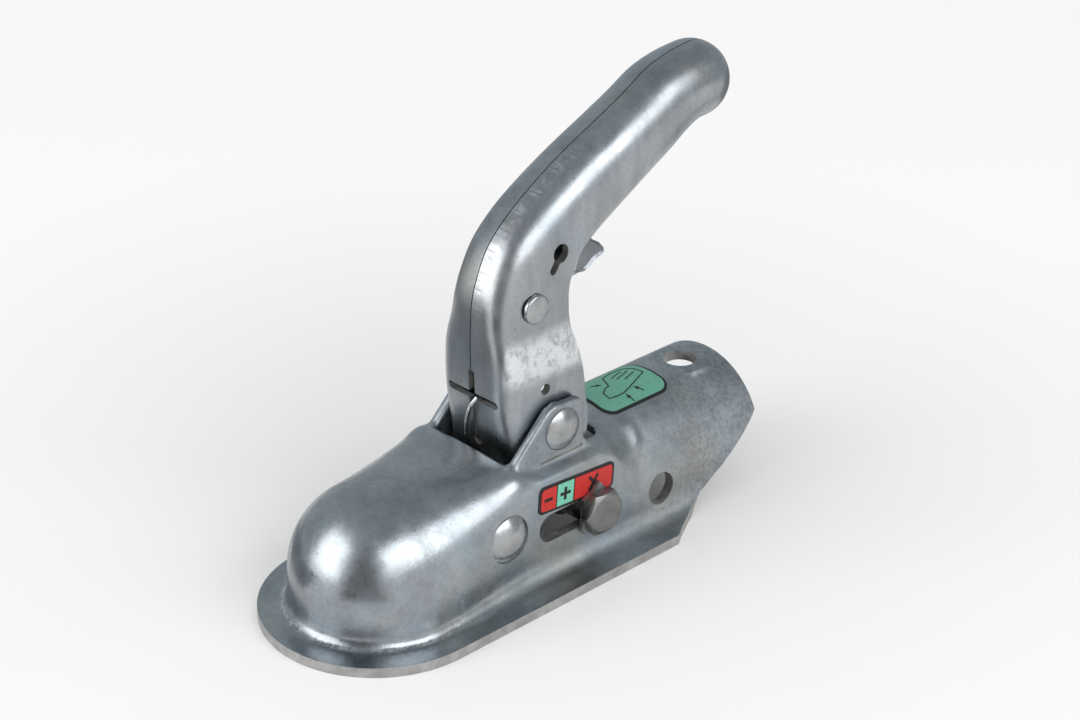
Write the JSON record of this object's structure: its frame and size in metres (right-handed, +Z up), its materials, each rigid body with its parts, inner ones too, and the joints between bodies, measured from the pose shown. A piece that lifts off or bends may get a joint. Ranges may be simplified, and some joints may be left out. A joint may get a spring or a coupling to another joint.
{
  "type": "trailer coupling head",
  "caption": "Pressed steel trailer coupling head with a folded hand lever and trigger lock, a swinging ball clamp and a slide bolt that moves a pointer along a coloured scale.",
  "frame": {"origin": "on the vertical axis of the ball socket, in the plane of the flange's underside", "axes": "+X from the ball towards the drawbar, +Y to the side away from the scale and the bolt head, +Z up; at rest the lever is open"},
  "size_m": [0.21, 0.086, 0.1756],
  "materials": {
    "housing_steel": "zinc-plated pressed steel, satin",
    "lever_steel": "zinc-plated folded steel, satin",
    "rivet_steel": "bright zinc-plated rivet steel",
    "bolt_steel": "zinc-plated machined steel",
    "dark_steel": "dull grey steel",
    "spring_steel": "oiled spring wire",
    "label_black": "printed film",
    "label_red": "printed film",
    "label_green": "printed film"
  },
  "bodies": {
    "housing": {"housing": "housing_steel", "lever_pin": "rivet_steel", "clamp_pin": "rivet_steel", "clamp_spacer_near": "dark_steel", "clamp_spacer_far": "dark_steel", "scale_label": "label_black", "scale_red": "label_red", "scale_green": "label_green", "scale_marks": "label_black", "info_label": "label_black", "info_field": "label_green", "info_marks": "label_black"},
    "lever": {"lever": "lever_steel", "lever_bush": "dark_steel", "drive_pin": "dark_steel", "catch_wire": "bolt_steel", "lever_lock_pin": "rivet_steel", "lever_lock_spring": "spring_steel"},
    "lock": {"lever_lock": "lever_steel"},
    "clamp": {"clamp_jaw": "dark_steel"},
    "slide": {"slide_bolt": "bolt_steel", "slide_nut": "bolt_steel", "slide_washer": "bolt_steel", "slide_sleeve": "dark_steel", "slide_collar_near": "dark_steel", "slide_collar_far": "dark_steel", "yoke_near": "dark_steel", "yoke_far": "dark_steel", "pointer_plate": "bolt_steel", "spring_seat": "dark_steel", "clamp_spring": "spring_steel"}
  },
  "joints": [
    {"name": "lever_turn", "type": "hinge", "parent": "housing", "child": "lever", "pos_m": [0.067, 0, 0.0568], "axis": [0, 1, 0], "range_deg": [0, 48]},
    {"name": "lock_press", "type": "hinge", "parent": "lever", "child": "lock", "pos_m": [0.06, 0, 0.104], "axis": [0, -1, 0], "range_deg": [0, 8], "stiffness_Nm_per_rad": 0.5},
    {"name": "clamp_turn", "type": "hinge", "parent": "housing", "child": "clamp", "pos_m": [0.035, 0, 0.027], "axis": [0, 1, 0], "range_deg": [0, 16]},
    {"name": "slide_travel", "type": "slide", "parent": "housing", "child": "slide", "axis": [-1, 0, 0], "range_m": [0, 0.01497], "deforming": ["clamp_spring"]}
  ],
  "couplings": [
    {"joint": "clamp_turn", "follows": "lever_turn", "ratio": 0.3333},
    {"joint": "slide_travel", "follows": "lever_turn", "m_per_rad": 0.01786}
  ]
}
